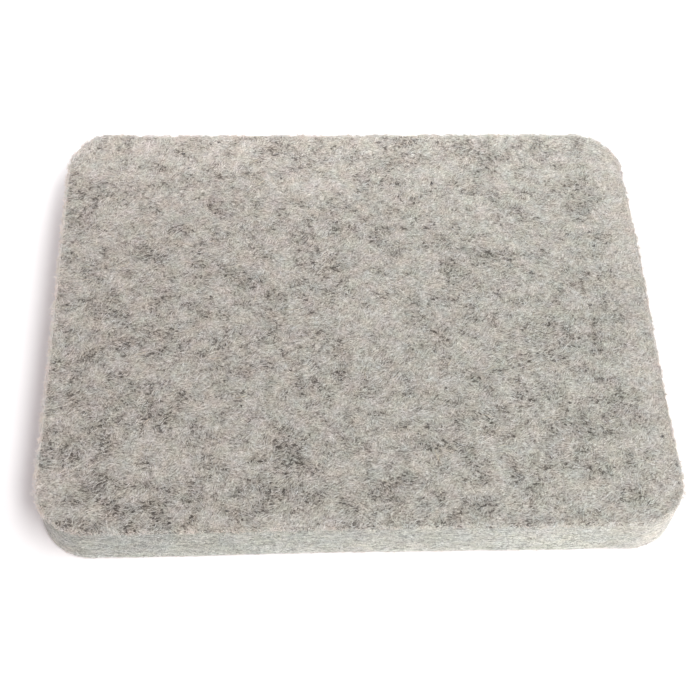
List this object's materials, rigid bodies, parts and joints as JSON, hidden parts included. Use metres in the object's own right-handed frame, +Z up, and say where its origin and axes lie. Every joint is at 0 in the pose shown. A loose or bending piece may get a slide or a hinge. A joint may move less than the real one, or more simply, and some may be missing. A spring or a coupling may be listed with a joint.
{
  "type": "needle felting mat",
  "caption": "Thick rectangular slab of heathered grey wool felt with rounded corners, built of needled plies; a springy work surface that takes the needle point.",
  "frame": {"origin": "centre of the underside, on the surface that the mat lies on", "axes": "+X along the long side, +Y along the short side, +Z up out of the working face"},
  "size_m": [0.254, 0.2, 0.0236],
  "materials": {
    "face_felt": "matte",
    "core_felt": "matte"
  },
  "bodies": {
    "root": {"bottom_face_ply": "face_felt", "core_ply_1": "core_felt", "core_ply_2": "core_felt", "core_ply_3": "core_felt", "core_ply_4": "core_felt", "core_ply_5": "core_felt", "core_ply_6": "core_felt", "top_face_ply": "face_felt"}
  },
  "joints": []
}
